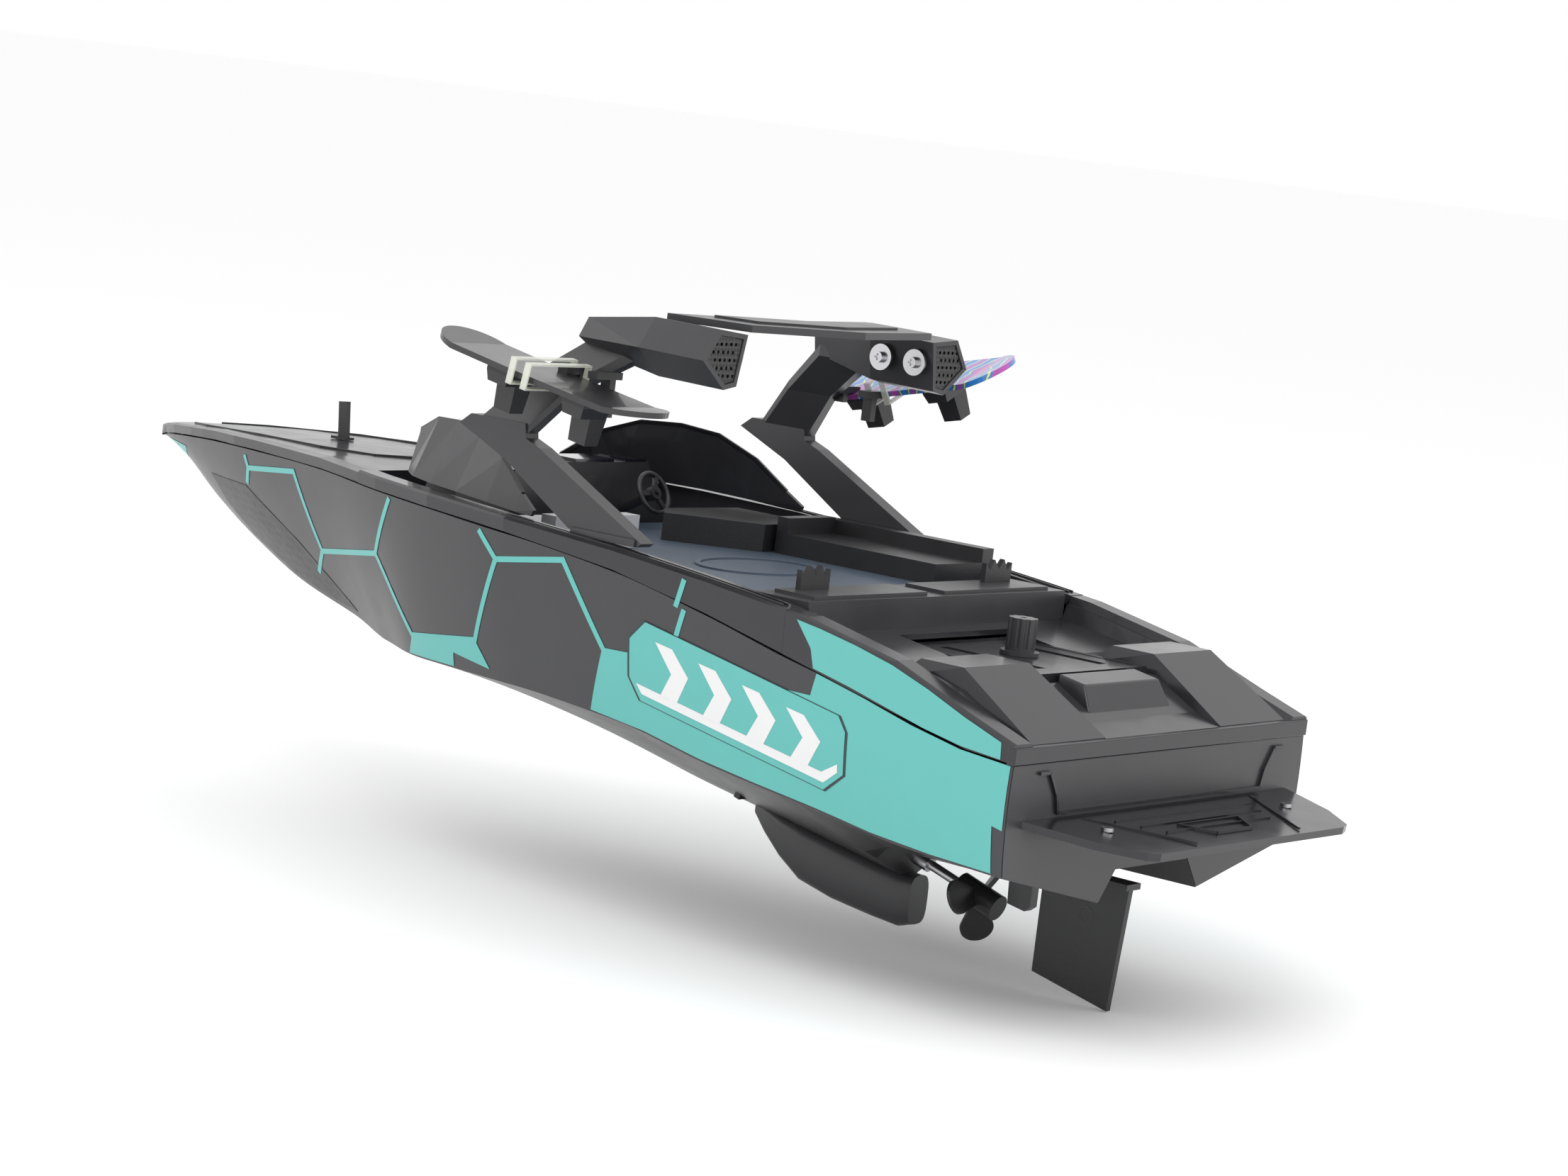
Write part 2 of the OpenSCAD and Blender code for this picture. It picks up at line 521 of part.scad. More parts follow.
tube_wall_d = 6.9;
module stern_tube() color(steel) on_shaft(-58) difference() {
    rod(tube_wall_d, 60);
    translate([-1, 0, 0]) rod(shaft_d + 2 * run_gap, 62);
}
prop_s = 19;
prop_len = 20;
module propeller() color(dark) on_shaft(prop_s) difference() {
    union() {
        rod(prop_hub_d, prop_len);
        for (i = [0 : prop_blades - 1]) rotate([25 + i * 360 / prop_blades, 0, 0])
            translate([prop_len / 2, 0, 0]) rotate([0, 0, 38]) hull() {
                translate([-1, -3, 3]) cube([2, 6, 1]);
                translate([-0.7, 0, prop_d * 0.34]) rotate([0, 90, 0]) cylinder(d = 14, h = 1.4, $fn = 32);
            }
    }
    translate([-1, 0, 0]) rod(shaft_d, prop_len - 4);
}
module prop_shaft() color(steel) on_shaft(-70) rod(shaft_d, 70 + prop_s + prop_len - 5.2);
coupler_d = 10;
module shaft_coupler() color([0.75, 0.5, 0.2]) on_shaft(-84) difference() {
    union() {
        rod(coupler_d, 22);
        translate([-8, 0, 0]) rod(motor_pin_d, 8.5);
    }
    translate([13.8, 0, 0]) rod(shaft_d, 9);
}
motor_d = 28;
motor_l = 38;
motor_pin_d = 3.2;
motor_s = -90;
module motor() color(steel) difference() {
    on_shaft(motor_s - motor_l) {
        rod(motor_d, motor_l);
        translate([-2, 0, 0]) rod(10, 3);
        translate([motor_l - 0.1, 0, 0]) rod(9, 3);
    }
    on_shaft(motor_s - 4) rod(motor_pin_d + 2 * run_gap, 20);
}
module motor_mount() color(dark) on_shaft(motor_s + 0.05) difference() {
    translate([0, -16, -13.6]) cube([3, 32, 30]);
    translate([-1, 0, 0]) rod(9.2, 5);
    for (s = [-1, 1]) translate([-1, s * 8, 0]) rod(2.5, 5);
}
module strut_fin() color(charcoal) {
    side_plate([[-199.5, tunnel_z - 0.2], [-212, tunnel_z - 0.2], [-212, 33], [-209.5, 31], [-201, 32.5]],
        -2.5, 5);
}
rudder_outline = [[-216, 46], [-216, 8], [-253, 0], [-256.5, 50], [-222, 50]];
stock_top = 84;
module rudder() color(dark) {
    side_plate(rudder_outline, -1.5, 3);
    box([-257.5, -5, 49.9], [-228, 5, 52.4]);
    translate([stock_x, 0, 50]) cylinder(d = stock_d, h = stock_top - 50);
}
module rudder_bush() color([0.8, 0.65, 0.35]) translate([stock_x, 0, 55.5]) difference() {
    cylinder(d = bush_d - 0.1, h = 14);
    translate([0, 0, -1]) cylinder(d = stock_d + 2 * run_gap, h = 16);
}
arm_z = 74;
arm_t = 3;
arm_w = 6;
link_pin_d = 2;
module tiller_arm() color(steel) translate([stock_x, 0, arm_z]) difference() {
    union() {
        cylinder(d = 10, h = 6);
        box([-arm_w / 2, 0, 0], [arm_w / 2, arm_len, arm_t]);
        translate([0, arm_len, 0]) cylinder(d = arm_w, h = arm_t);
    }
    translate([0, 0, -1]) cylinder(d = stock_d, h = 9);
    translate([0, arm_len, -1]) cylinder(d = link_pin_d + 2 * run_gap, h = 9);
}
servo_x = stock_x + link_len;
module servo_horn() color([0.85, 0.85, 0.85]) translate([servo_x, 0, arm_z]) difference() {
    union() {
        cylinder(d = 9, h = 4);
        box([-arm_w / 2, 0, 0], [arm_w / 2, arm_len, arm_t]);
        translate([0, arm_len, 0]) cylinder(d = arm_w, h = arm_t);
    }
    translate([0, 0, -1]) cylinder(d = spline_d + 2 * run_gap, h = 8);
    translate([0, arm_len, -1]) cylinder(d = link_pin_d + 2 * run_gap, h = 9);
}
spline_d = 4.8;
module pushrod() color(steel) {
    translate([stock_x, arm_len, arm_z + arm_t + 1.3]) rod(link_pin_d, link_len);
    for (x = [stock_x, servo_x]) translate([x, arm_len, arm_z - 0.6]) cylinder(d = link_pin_d, h = 5.9);
}
module steering_servo() color([0.12, 0.12, 0.13]) {
    box([servo_x - 6, -10, 84], [servo_x + 17, 10, 104]);
    translate([servo_x, 0, 80.5]) cylinder(d = 11, h = 3.6);
    translate([servo_x, 0, arm_z + 0.5]) cylinder(d = spline_d, h = 8);
    for (x = [servo_x - 11, servo_x + 16.9]) box([x, -9, 95], [x + 5.1, 9, 97.5]);
}
tray_z = 87.5;
tray_t = 2;
module battery_tray() color(dark) {
    box([-146, -89, tray_z], [-60, 89, tray_z + tray_t]);
    difference() {
        box([-146, -76, tray_z + 1], [-60, -38, tray_z + 16]);
        box([-143, -73, tray_z + tray_t], [-63, -41, tray_z + 30]);
    }
    for (x = [-136, -76]) for (y = [45, 75])
        translate([x, y, tray_z + 1]) cylinder(d = 5, h = 5);
}
pack_d = 15.8;
module battery_pack() color([0.12, 0.3, 0.6]) for (r = [0, 1])
    translate([-142, -64.9 + r * pack_d, tray_z + tray_t + pack_d / 2 + 0.05]) rod(pack_d - 0.1, 76);
board_z = tray_z + 6.05;
module circuit_board() color([0.1, 0.4, 0.2]) {
    box([-140, 40, board_z], [-70, 80, board_z + 1.6]);
    box([-130, 48, board_z + 1.5], [-112, 66, board_z + 4]);
    box([-100, 46, board_z + 1.5], [-84, 60, board_z + 7]);
}
module power_switch() color([0.6, 0.1, 0.1]) {
    box([-130, -26, tray_z + tray_t + 0.05], [-118, -14, tray_z + 10]);
    box([-127, -22, tray_z + 9.9], [-121, -18, tray_z + 13]);
}
module servo_bracket() color(dark) for (x = [servo_x - 11, servo_x + 17.2])
    box([x, -9, tunnel_z + 2], [x + 4.8, -3, 94.95]);

hull_shell();
deck_shell();
skeg_housing();
aft_deck();
hatch_rim();
stern_pad_port();
stern_pad_starboard();
cockpit_floor();
starboard_bench();
port_seat();
helm_seat();
rear_bench();
helm_console();
dash_screen();
steering_column();
steering_wheel();
port_rest_plate();
starboard_rest_plate();
bow_post();
port_windshield();
starboard_windshield();
tower_leg_port();
tower_leg_starboard();
tower_roof();
pod_port();
pod_starboard();
grille_port();
grille_starboard();
pod_washers();
pod_screws();
rack_port();
rack_starboard();
wakeboard_port();
wakeboard_starboard();
bindings_port();
bindings_starboard();
board_ties();
swim_platform();
platform_screws();
aft_hatch();
hatch_seal();
hatch_knob();
stern_tube();
propeller();
prop_shaft();
shaft_coupler();
motor();
motor_mount();
strut_fin();
rudder();
rudder_bush();
tiller_arm();
pushrod();
servo_horn();
steering_servo();
servo_bracket();
battery_tray();
battery_pack();
circuit_board();
power_switch();
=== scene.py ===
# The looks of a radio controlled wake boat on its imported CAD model. +X is the bow, +Y port, +Z up.
# Shapes are written in millimetres and scaled to metres when a mesh is made.
import json
import math

import bmesh
import bpy
import numpy as np
from mathutils import Matrix, Vector


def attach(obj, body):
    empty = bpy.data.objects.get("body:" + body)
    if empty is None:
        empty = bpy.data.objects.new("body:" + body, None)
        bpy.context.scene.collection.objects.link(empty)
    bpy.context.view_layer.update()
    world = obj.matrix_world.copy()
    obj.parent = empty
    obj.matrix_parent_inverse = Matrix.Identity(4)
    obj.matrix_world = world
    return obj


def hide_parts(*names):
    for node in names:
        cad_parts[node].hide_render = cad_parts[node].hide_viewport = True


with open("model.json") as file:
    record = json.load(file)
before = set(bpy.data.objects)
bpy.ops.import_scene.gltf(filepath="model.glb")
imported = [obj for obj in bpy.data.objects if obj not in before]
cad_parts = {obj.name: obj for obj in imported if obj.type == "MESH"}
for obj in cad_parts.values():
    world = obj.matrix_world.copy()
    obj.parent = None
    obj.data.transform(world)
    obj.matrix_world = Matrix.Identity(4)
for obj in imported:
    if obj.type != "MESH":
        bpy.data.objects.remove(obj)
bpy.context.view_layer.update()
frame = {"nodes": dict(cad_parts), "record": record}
MM = 0.001
NODES = frame["nodes"]


# ---------------------------------------------------------------- camera, light, floor
def make_camera():
    azimuth, elevation, roll = (math.radians(a) for a in (-52.9, -6.99, 6.8))
    look = Vector((math.cos(elevation) * math.cos(azimuth), math.cos(elevation) * math.sin(azimuth),
                   math.sin(elevation)))
    right = look.cross(Vector((0, 0, 1))).normalized()
    up = right.cross(look)
    tilted_right = math.cos(roll) * right + math.sin(roll) * up
    tilted_up = -math.sin(roll) * right + math.cos(roll) * up
    data = bpy.data.cameras.new("camera")
    data.sensor_width = 36
    data.lens = 89.5
    data.clip_start = 0.05
    cam = bpy.data.objects.new("camera", data)
    turn = Matrix((tilted_right, tilted_up, -look)).transposed().to_4x4()
    cam.matrix_world = Matrix.Translation((-1.049, 1.2965, 0.338)) @ turn
    bpy.context.collection.objects.link(cam)
    bpy.context.scene.camera = cam


def area_light(name, place, target, size, power):
    data = bpy.data.lights.new(name, "AREA")
    data.size = size
    data.energy = power
    light = bpy.data.objects.new(name, data)
    light.location = place
    light.rotation_euler = (Vector(target) - Vector(place)).to_track_quat("-Z", "Y").to_euler()
    bpy.context.collection.objects.link(light)


def make_studio():
    area_light("key_light", (-0.7, 1.3, 1.9), (0, 0, 0.1), 1.4, 15)
    area_light("fill_light", (-1.7, -0.9, 1.3), (0, 0, 0.1), 1.6, 6)
    area_light("bow_light", (1.5, 1.0, 0.9), (0.1, 0, 0.1), 1.2, 5)
    world = bpy.data.worlds.new("studio")
    world.use_nodes = True
    back = world.node_tree.nodes["Background"]
    back.inputs["Color"].default_value = (1, 1, 1, 1)
    back.inputs["Strength"].default_value = 1.0
    bpy.context.scene.world = world
    bpy.context.scene.view_settings.view_transform = "Standard"
    mesh = bpy.data.meshes.new("floor")
    size = 60
    mesh.from_pydata([(-size, -size, -0.0005), (size, -size, -0.0005), (size, size, -0.0005),
                      (-size, size, -0.0005)], [], [(0, 1, 2, 3)])
    floor = bpy.data.objects.new("floor", mesh)
    bpy.context.collection.objects.link(floor)
    floor.data.materials.append(material("floor_paper", (0.97, 0.97, 0.97), 0.95, grain=0.002, scale=40))


# ---------------------------------------------------------------- materials
def material(name, colour, rough, metal=0.0, grain=0.04, bump=0.0, scale=900, coat=0.0, alpha=1.0):
    """Principled material whose colour and gloss drift a little over the surface."""
    m = bpy.data.materials.new(name)
    m.use_nodes = True
    nodes, links = m.node_tree.nodes, m.node_tree.links
    shader = nodes["Principled BSDF"]
    shader.inputs["Metallic"].default_value = metal
    shader.inputs["Coat Weight"].default_value = coat
    shader.inputs["Alpha"].default_value = alpha
    place = nodes.new("ShaderNodeTexCoord")
    noise = nodes.new("ShaderNodeTexNoise")
    noise.inputs["Scale"].default_value = scale / 12
    noise.inputs["Detail"].default_value = 4
    links.new(place.outputs["Object"], noise.inputs["Vector"])
    tint = nodes.new("ShaderNodeMix")
    tint.data_type = "RGBA"
    tint.inputs["A"].default_value = (*[c * (1 - grain) for c in colour], 1)
    tint.inputs["B"].default_value = (*[min(1, c * (1 + grain)) for c in colour], 1)
    links.new(noise.outputs["Fac"], tint.inputs["Factor"])
    links.new(tint.outputs["Result"], shader.inputs["Base Color"])
    gloss = nodes.new("ShaderNodeMapRange")
    gloss.inputs["To Min"].default_value = max(0.02, rough - 0.06)
    gloss.inputs["To Max"].default_value = min(1, rough + 0.06)
    links.new(noise.outputs["Fac"], gloss.inputs["Value"])
    links.new(gloss.outputs["Result"], shader.inputs["Roughness"])
    if bump:
        fine = nodes.new("ShaderNodeTexNoise")
        fine.inputs["Scale"].default_value = scale
        fine.inputs["Detail"].default_value = 3
        links.new(place.outputs["Object"], fine.inputs["Vector"])
        relief = nodes.new("ShaderNodeBump")
        relief.inputs["Strength"].default_value = bump
        relief.inputs["Distance"].default_value = 0.0003
        links.new(fine.outputs["Fac"], relief.inputs["Height"])
        links.new(relief.outputs["Normal"], shader.inputs["Normal"])
    return m


def cell_material(name, cells, high, low):
    """Black plastic with a regular pattern of small dark pits."""
    m = material(name, (high, high, high), 0.4)
    nodes, links = m.node_tree.nodes, m.node_tree.links
    shader = nodes["Principled BSDF"]
    place = nodes.new("ShaderNodeTexCoord")
    pits = nodes.new("ShaderNodeTexVoronoi")
    pits.inputs["Scale"].default_value = cells
    pits.inputs["Randomness"].default_value = 0.12
    links.new(place.outputs["Object"], pits.inputs["Vector"])
    ramp = nodes.new("ShaderNodeValToRGB")
    ramp.color_ramp.elements[0].position = 0.34
    ramp.color_ramp.elements[0].color = (low, low, low, 1)
    ramp.color_ramp.elements[1].position = 0.46
    ramp.color_ramp.elements[1].color = (high, high, high, 1)
    links.new(pits.outputs["Distance"], ramp.inputs["Fac"])
    links.new(ramp.outputs["Color"], shader.inputs["Base Color"])
    relief = nodes.new("ShaderNodeBump")
    relief.inputs["Strength"].default_value = 0.8
    relief.inputs["Distance"].default_value = 0.0005
    links.new(ramp.outputs["Color"], relief.inputs["Height"])
    links.new(relief.outputs["Normal"], shader.inputs["Normal"])
    return m


def print_material():
    """Blue board base with wavering yellow and magenta stripes."""
    m = material("board_print", (0.02, 0.2, 0.55), 0.24, coat=0.4)
    nodes, links = m.node_tree.nodes, m.node_tree.links
    place = nodes.new("ShaderNodeTexCoord")
    wave = nodes.new("ShaderNodeTexWave")
    wave.inputs["Scale"].default_value = 26
    wave.inputs["Distortion"].default_value = 5
    wave.inputs["Detail Scale"].default_value = 2.2
    links.new(place.outputs["Object"], wave.inputs["Vector"])
    ramp = nodes.new("ShaderNodeValToRGB")
    ramp.color_ramp.interpolation = "CONSTANT"
    bands = ramp.color_ramp.elements
    bands[0].color = (0.02, 0.2, 0.55, 1)
    bands[1].position = 0.3
    bands[1].color = (0.75, 0.72, 0.16, 1)
    for position, colour in ((0.5, (0.02, 0.2, 0.55, 1)), (0.78, (0.42, 0.07, 0.4, 1))):
        bands.new(position).color = colour
    links.new(wave.outputs["Fac"], ramp.inputs["Fac"])
    links.new(ramp.outputs["Color"], nodes["Principled BSDF"].inputs["Base Color"])
    return m


LOOKS = {
    "charcoal": material("charcoal_plastic", (0.036, 0.036, 0.039), 0.32, bump=0.03, grain=0.1),
    "deck": material("deck_plastic", (0.02, 0.02, 0.023), 0.2, grain=0.05),
    "black": material("black_plastic", (0.018, 0.018, 0.02), 0.38, bump=0.15, grain=0.15),
    "gloss_black": material("gloss_black", (0.006, 0.006, 0.007), 0.12, grain=0.1),
    "rubber": material("black_rubber", (0.02, 0.02, 0.021), 0.62, bump=0.5, grain=0.2),
    "floor": material("cockpit_floor_plastic", (0.075, 0.1, 0.14), 0.42, bump=0.3),
    "light": material("light_plastic", (0.5, 0.5, 0.52), 0.4, bump=0.1),
    "teal": material("teal_film", (0.105, 0.43, 0.4), 0.38, grain=0.03),
    "white": material("white_film", (0.72, 0.72, 0.72), 0.36, grain=0.02),
    "line": material("dark_film", (0.02, 0.035, 0.04), 0.4),
    "steel": material("bright_steel", (0.62, 0.62, 0.64), 0.22, metal=1, scale=300),
    "shaft": material("shaft_steel", (0.5, 0.5, 0.52), 0.3, metal=1, scale=500),
    "brass": material("brass", (0.62, 0.42, 0.16), 0.3, metal=1, scale=300),
    "band": material("clear_band", (0.8, 0.82, 0.72), 0.25, alpha=0.55, scale=200),
    "screen": material("dash_glass", (0.008, 0.008, 0.014), 0.1, coat=0.6),
    "blue": material("board_blue", (0.02, 0.2, 0.55), 0.2, coat=0.4, grain=0.06),
    "speaker_mesh": cell_material("speaker_mesh", 480, 0.03, 0.003),
    "tread": cell_material("tread_relief", 260, 0.03, 0.012),
    "board_print": print_material(),
    "board_black": material("board_black", (0.02, 0.02, 0.022), 0.3, coat=0.3),
    "pcb": material("circuit_green", (0.02, 0.16, 0.05), 0.35, grain=0.2),
    "cell": material("cell_blue", (0.02, 0.08, 0.35), 0.3, coat=0.3),
    "red": material("switch_red", (0.4, 0.02, 0.02), 0.3),
}

SLOT_LOOKS = {"charcoal_plastic": "charcoal", "black_plastic": "black", "floor_plastic": "floor",
              "light_plastic": "light", "board_plastic": "blue", "clear_band": "band",
              "screen": "screen", "bright_metal": "steel", "shaft_steel": "shaft",
              "brass_part": "brass", "seal_rubber": "rubber", "pcb": "pcb", "cell_wrap": "cell",
              "switch_red": "red"}


def dress_cad_nodes():
    for part in frame["record"]["subparts"]:
        node = NODES[part["node"]]
        look = LOOKS[SLOT_LOOKS[part["material_slot"]]]
        node.data.materials.clear()
        node.data.materials.append(look)
    special = {"grille_port": "speaker_mesh", "grille_starboard": "speaker_mesh",
               "wakeboard_port": "board_black", "wakeboard_starboard": "board_print",
               "port_windshield": "deck", "starboard_windshield": "deck", "aft_deck": "deck",
               "deck_shell": "deck", "stern_pad_port": "deck", "stern_pad_starboard": "deck",
               "aft_hatch": "deck", "hatch_rim": "deck", "swim_platform": "deck"}
    for name, look in special.items():
        NODES[name].data.materials[0] = LOOKS[look]
    wide = {"skeg_housing": 2.2, "stern_pad_port": 1.4, "stern_pad_starboard": 1.4, "strut_fin": 1.0,
            "tower_leg_port": 0.9, "tower_leg_starboard": 0.9, "helm_seat": 1.2, "port_seat": 1.2}
    for name in ("pod_port", "pod_starboard", "tower_roof", "swim_platform", "hatch_rim", "aft_hatch",
                 "rear_bench", "starboard_bench", "helm_console", "bow_post", "rack_port",
                 "rack_starboard"):
        wide[name] = 0.5
    for node in NODES.values():
        if node.type == "MESH":
            node.data.shade_smooth()
            node.data.set_sharp_from_angle(angle=math.radians(28))
    for name in ("port_windshield", "starboard_windshield"):
        NODES[name].data.set_sharp_from_angle(angle=math.radians(55))
    for name, width in wide.items():
        round_off = NODES[name].modifiers.new("bevel", "BEVEL")
        round_off.width = width * MM
        round_off.segments = 3
        round_off.limit_method = "ANGLE"
        round_off.angle_limit = math.radians(30)
        round_off.harden_normals = True


# ---------------------------------------------------------------- mesh helpers
def add_mesh(name, points, faces, look, body="boat", sharp=32, bevel=0.0):
    """Points are in millimetres. The piece rides on a CAD body."""
    mesh = bpy.data.meshes.new(name)
    mesh.from_pydata([tuple(c * MM for c in p) for p in points], [], faces)
    work = bmesh.new()
    work.from_mesh(mesh)
    bmesh.ops.remove_doubles(work, verts=work.verts, dist=1e-6)
    bmesh.ops.recalc_face_normals(work, faces=work.faces)
    work.to_mesh(mesh)
    work.free()
    mesh.shade_smooth()
    mesh.set_sharp_from_angle(angle=math.radians(sharp))
    piece = bpy.data.objects.new(name, mesh)
    bpy.context.collection.objects.link(piece)
    mesh.materials.append(LOOKS[look])
    if bevel:
        round_off = piece.modifiers.new("bevel", "BEVEL")
        round_off.width = bevel * MM
        round_off.segments = 3
        round_off.limit_method = "ANGLE"
        round_off.angle_limit = math.radians(28)
        round_off.harden_normals = True
    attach(piece, body)
    return piece


def loft(rings, closed=True, caps=True):
    """Faces between rings with equal numbers of points."""
    count = len(rings[0])
    points = [p for ring in rings for p in ring]
    faces = []
    for i in range(len(rings) - 1):
        for j in range(count if closed else count - 1):
            k = (j + 1) % count
            faces.append((i * count + j, i * count + k, (i + 1) * count + k, (i + 1) * count + j))
    if caps:
        last = (len(rings) - 1) * count
        faces.append(tuple(range(count)))
        faces.append(tuple(last + j for j in reversed(range(count))))
    return points, faces


def shell_caps(count, rings):
    """End faces of a shell ring: an outer line and its inner line backward."""
    faces = []
    for start in (0, (rings - 1) * count):
        for j in range(count // 2 - 1):
            faces.append((start + j, start + j + 1, start + count - 2 - j, start + count - 1 - j))
    return faces


def curve_of(table):
    """Smooth curve through [x, value] stations that never overshoots them."""
    xs = np.array([p[0] for p in table], float)
    ys = np.array([p[1] for p in table], float)
    gap = np.diff(xs)
    slope = np.diff(ys) / gap
    bend = np.zeros(len(xs))
    bend[0], bend[-1] = slope[0], slope[-1]
    for i in range(1, len(xs) - 1):
        if slope[i - 1] * slope[i] > 0:
            a, b = 2 * gap[i] + gap[i - 1], gap[i] + 2 * gap[i - 1]
            bend[i] = (a + b) / (a / slope[i - 1] + b / slope[i])

    def value(x):
        x = min(max(x, xs[0]), xs[-1])
        i = min(int(np.searchsorted(xs, x, "right")) - 1, len(gap) - 1)
        t = (x - xs[i]) / gap[i]
        return float(ys[i] * (1 + 2 * t) * (1 - t) ** 2 + gap[i] * bend[i] * t * (1 - t) ** 2
                     + ys[i + 1] * t * t * (3 - 2 * t) + gap[i] * bend[i + 1] * t * t * (t - 1))
    return value


# ---------------------------------------------------------------- hull shape, from the CAD stations
HALF_BEAM = 107
deck_half = curve_of([(-264, 1), (-205, 0.99), (-160, 0.982), (-110, 0.978), (-60, 0.98), (0, 0.972),
                      (50, 0.905), (90, 0.81), (130, 0.69), (165, 0.58), (220, 0.415), (265, 0.25),
                      (290, 0.14), (303, 0.07), (309, 0.035)])
deck_top = curve_of([(-264, 115), (-242, 122.5), (-205, 136), (-160, 145), (-110, 150.5), (-60, 155),
                     (0, 158.5), (50, 160.5), (90, 161.5), (140, 163), (200, 162), (240, 160.5),
                     (268, 158.5), (290, 156.5), (303, 154.8), (309, 153.4)])
flange = curve_of([(-264, 7), (-242, 13), (-205, 19), (-160, 18), (-110, 12.5), (-57, 7.5), (0, 5.5),
                   (309, 4)])
chine_half = curve_of([(-264, 0.98), (-215, 0.945), (-175, 0.92), (-114, 0.9), (-63, 0.88), (0, 0.83),
                       (39, 0.757), (74, 0.655), (103, 0.505), (138, 0.355), (185, 0.235),
                       (226, 0.15), (262, 0.085), (290, 0.05), (309, 0.025)])
chine_z = curve_of([(-264, 65), (-215, 66.5), (-175, 71), (-114, 78), (-63, 86), (0, 89), (39, 88.5),
                    (74, 87.5), (103, 87.5), (138, 92), (185, 99.5), (226, 112), (262, 127), (290, 143),
                    (309, 150.4)])
keel_z = curve_of([(-148, 31), (-80, 43), (-33, 51), (10, 60), (50, 68), (90, 74), (130, 78.5),
                   (148, 80.5), (172, 85), (210, 95), (241, 109), (263, 122), (290, 140), (309, 149)])
X_STERN = -264
X_POCKET = -150
TUNNEL_Z = 62
KEEL_TIP_Z = 49.5
WALL = 2.4
FILM_THICK = 0.12
# Height of each layer of film above the hull side
TREAD_LIFT = 0.06
FILM_LIFT = 0.12
EDGE_LIFT = 0.26
FIELD_LIFT = 0.4
PRINT_LIFT = 0.54


def gunwale_y(x):
    return HALF_BEAM * deck_half(x)


def seam_z(x):
    return deck_top(x) - flange(x)


def seam_y(x):
    return gunwale_y(x) - 0.8 * min(1, gunwale_y(x) / 20)


def chine_y(x):
    return HALF_BEAM * chine_half(x)


def side_y(x, z):
    """Half width of the hull side, or of the deck flange above the seam, at a height."""
    top, low = seam_z(x), chine_z(x)
    if z > top:
        return seam_y(x) + (gunwale_y(x) - seam_y(x)) * (z - top) / flange(x)
    t = max(0, (z - low) / (top - low))
    lean = seam_y(x) - chine_y(x)
    belly = 0.05 * lean + 1.2 * min(1, seam_y(x) / 30)
    return chine_y(x) + lean * t + 4 * t * (1 - t) * belly


SIDE_STEPS = 8


def hull_half(x, inset=0.0):
    """Half section from the seam down the side to the keel, moved in by the wall thickness."""
    top, low = seam_z(x) - 0.5, chine_z(x)
    t = min(inset, 0.3 * gunwale_y(x))
    half = []
    for i in range(SIDE_STEPS):
        z = top + (low + 0.8 * t - top) * i / (SIDE_STEPS - 1)
        half.append((max(side_y(x, z) - t, 0.4 * side_y(x, z)), z))
    y = chine_y(x)
    if x < X_POCKET:
        half += [(0.34 * y, KEEL_TIP_Z + 1.5 * t), (0.25 * y, TUNNEL_Z + t), (0.12 * y, TUNNEL_Z + t),
                 (0, TUNNEL_Z + t)]
    else:
        depth = chine_z(x) - keel_z(x)
        half += [(f * y, keel_z(x) + depth * f + t) for f in (0.34, 0.25, 0.12)] + [(0, keel_z(x) + t)]
    return half


def both_sides(half):
    return half + [(-y, z) for y, z in reversed(half[:-1])]


def make_hull():
    xs = [X_STERN + 6 * i for i in range(17)] + [-161, -150, -149]
    xs += [-144 + 6 * i for i in range(75)] + [304, 309]
    rings = []
    for x in sorted(xs):
        line = both_sides(hull_half(x)) + list(reversed(both_sides(hull_half(x, WALL))))
        rings.append([(x, y, z) for y, z in line])
    points, faces = loft(rings, caps=False)
    faces += shell_caps(len(rings[0]), len(rings))
    hull = add_mesh("hull_moulding", points, faces, "charcoal", sharp=24)
    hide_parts("hull_shell")
    make_transom()


def make_transom():
    """Aft face of the hull, a line round its recess above the swim platform, and the deck edge."""
    edge = both_sides(hull_half(X_STERN, 0.4))
    recess = [(89, 104), (82, 104), (76, 95), (74, 88), (-74, 88), (-76, 95), (-82, 104), (-89, 104)]
    work = bmesh.new()
    outer = [work.verts.new((X_STERN - 0.3, y, z)) for y, z in edge]
    front = work.faces.new(outer)
    push = bmesh.ops.extrude_face_region(work, geom=[front])
    moved = [g for g in push["geom"] if isinstance(g, bmesh.types.BMVert)]
    bmesh.ops.translate(work, verts=moved, vec=(2.4, 0, 0))
    points = [tuple(v.co) for v in work.verts]
    index = {v: i for i, v in enumerate(work.verts)}
    faces = [tuple(index[v] for v in f.verts) for f in work.faces]
    work.free()
    add_mesh("transom_face", points, faces, "charcoal")
    line = [(-264.9, y, z) for y, z in recess]
    for i in range(len(line) - 1):
        ridge(f"transom_line_{i}", line[i], line[i + 1], 1.3, "deck")
    band = [(-106.9, 107.6), (-107, 114.4), (-60, 114.2), (0, 114.2), (60, 114.2), (107, 114.4),
            (106.9, 107.6)]
    ends = [[(x, y, z) for y, z in band] for x in (-264.9, -261)]
    points, faces = loft(ends)
    add_mesh("stern_edge", points, faces, "deck", bevel=0.6)


def ridge(name, a, b, width, look, body="boat"):
    """A thin raised bar with a square section between two points."""
    a, b = Vector(a), Vector(b)
    along = (b - a).normalized()
    side = along.cross(Vector((0, 0, 1)))
    side = side.normalized() if side.length > 0.05 else Vector((0, 1, 0))
    up = side.cross(along)
    corners = [(s * side + t * up) * width / 2 for s, t in ((1, 1), (-1, 1), (-1, -1), (1, -1))]
    points, faces = loft([[tuple(a + c) for c in corners], [tuple(b + c) for c in corners]])
    add_mesh(name, points, faces, look, body=body)


